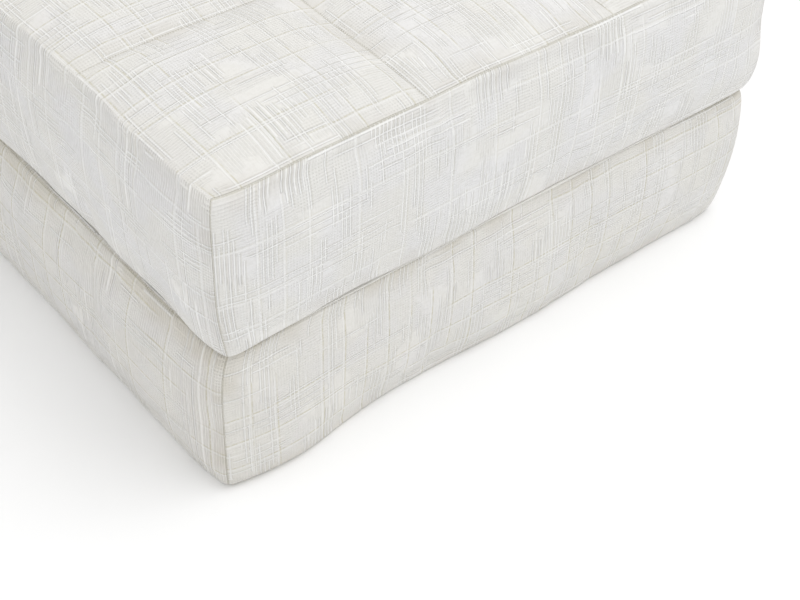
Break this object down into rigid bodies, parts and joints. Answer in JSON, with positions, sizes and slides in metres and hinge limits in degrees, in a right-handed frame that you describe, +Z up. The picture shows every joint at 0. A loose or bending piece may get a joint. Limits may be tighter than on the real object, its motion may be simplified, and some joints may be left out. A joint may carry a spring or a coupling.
{
  "type": "chair bed",
  "caption": "Fold-out foam chair bed: a quilted seat block folds forward off a base block and an upright back block folds down behind it to make a single bed.",
  "frame": {"origin": "middle of the folded chair's footprint, on the floor", "axes": "+X to the sitter's left-hand side seen from the front as the right, +Y from the front edge to the back, +Z up"},
  "size_m": [0.7063, 0.8306, 0.6495],
  "materials": {
    "foam": "open-cell polyurethane foam",
    "wadding": "bonded polyester fibre",
    "quilted_cloth": "ivory jacquard with raised slub lines",
    "side_cloth": "the same ivory jacquard, backed",
    "plain_cloth": "plain close-woven cloth",
    "hinge_cloth": "plain woven tape",
    "zip_cloth": "woven zip tape with closed teeth",
    "zip_metal": "enamelled die-cast zinc"
  },
  "bodies": {
    "base": {"base_foam_core": "foam", "base_upper_wadding": "wadding", "base_upper_cover": "quilted_cloth", "base_floor_cover": "plain_cloth", "base_front_side": "side_cloth", "base_rear_side": "side_cloth", "base_left_side": "side_cloth", "base_right_side": "side_cloth", "base_zip_tape": "zip_cloth", "front_hinge_strip": "hinge_cloth"},
    "seat": {"seat_foam_core": "foam", "seat_upper_wadding": "wadding", "seat_upper_cover": "quilted_cloth", "seat_lower_wadding": "wadding", "seat_lower_cover": "quilted_cloth", "seat_front_side": "side_cloth", "seat_rear_side": "side_cloth", "seat_left_side": "side_cloth", "seat_right_side": "side_cloth", "seat_zip_tape": "zip_cloth"},
    "rear_flap": {"rear_hinge_flap": "hinge_cloth"},
    "back": {"back_foam_core": "foam", "back_front_wadding": "wadding", "back_front_cover": "quilted_cloth", "back_rear_cover": "plain_cloth", "back_bottom_end": "side_cloth", "back_top_end": "side_cloth", "back_left_side": "side_cloth", "back_right_side": "side_cloth", "back_zip_tape": "zip_cloth"},
    "base_zip_slider": {"base_zip_slider": "zip_metal"},
    "base_zip_pull": {"base_zip_pull": "zip_metal"},
    "seat_zip_slider": {"seat_zip_slider": "zip_metal"},
    "seat_zip_pull": {"seat_zip_pull": "zip_metal"},
    "back_zip_slider": {"back_zip_slider": "zip_metal"},
    "back_zip_pull": {"back_zip_pull": "zip_metal"}
  },
  "joints": [
    {"name": "seat_fold", "type": "hinge", "parent": "base", "child": "seat", "pos_m": [0, -0.41545, 0.1748], "axis": [1, 0, 0], "range_deg": [0, 180], "deforming": ["front_hinge_strip"]},
    {"name": "back_lift", "type": "slide", "parent": "base", "child": "rear_flap", "axis": [0, 0, 1], "range_m": [0, 0.179], "deforming": ["rear_hinge_flap"]},
    {"name": "back_fold", "type": "hinge", "parent": "rear_flap", "child": "back", "pos_m": [0, 0.2363, 0], "axis": [-1, 0, 0], "range_deg": [0, 90]},
    {"name": "base_zip_travel", "type": "slide", "parent": "base", "child": "base_zip_slider", "axis": [0, 1, 0], "range_m": [0, 0.388]},
    {"name": "base_zip_pull_turn", "type": "hinge", "parent": "base_zip_slider", "child": "base_zip_pull", "pos_m": [0.35145, -0.2843, 0.084], "axis": [0, 0, 1], "range_deg": [0, 180]},
    {"name": "seat_zip_travel", "type": "slide", "parent": "seat", "child": "seat_zip_slider", "axis": [0, 1, 0], "range_m": [0, 0.388]},
    {"name": "seat_zip_pull_turn", "type": "hinge", "parent": "seat_zip_slider", "child": "seat_zip_pull", "pos_m": [0.35145, -0.2843, 0.2618], "axis": [0, 0, 1], "range_deg": [0, 180]},
    {"name": "back_zip_travel", "type": "slide", "parent": "back", "child": "back_zip_slider", "axis": [0, 0, 1], "range_m": [0, 0.388]},
    {"name": "back_zip_pull_turn", "type": "hinge", "parent": "back_zip_slider", "child": "back_zip_pull", "pos_m": [0.35145, 0.3313, 0.1305], "axis": [0, -1, 0], "range_deg": [0, 180]}
  ],
  "couplings": [
    {"joint": "back_lift", "follows": "back_fold", "m_per_rad": 0.11396}
  ]
}
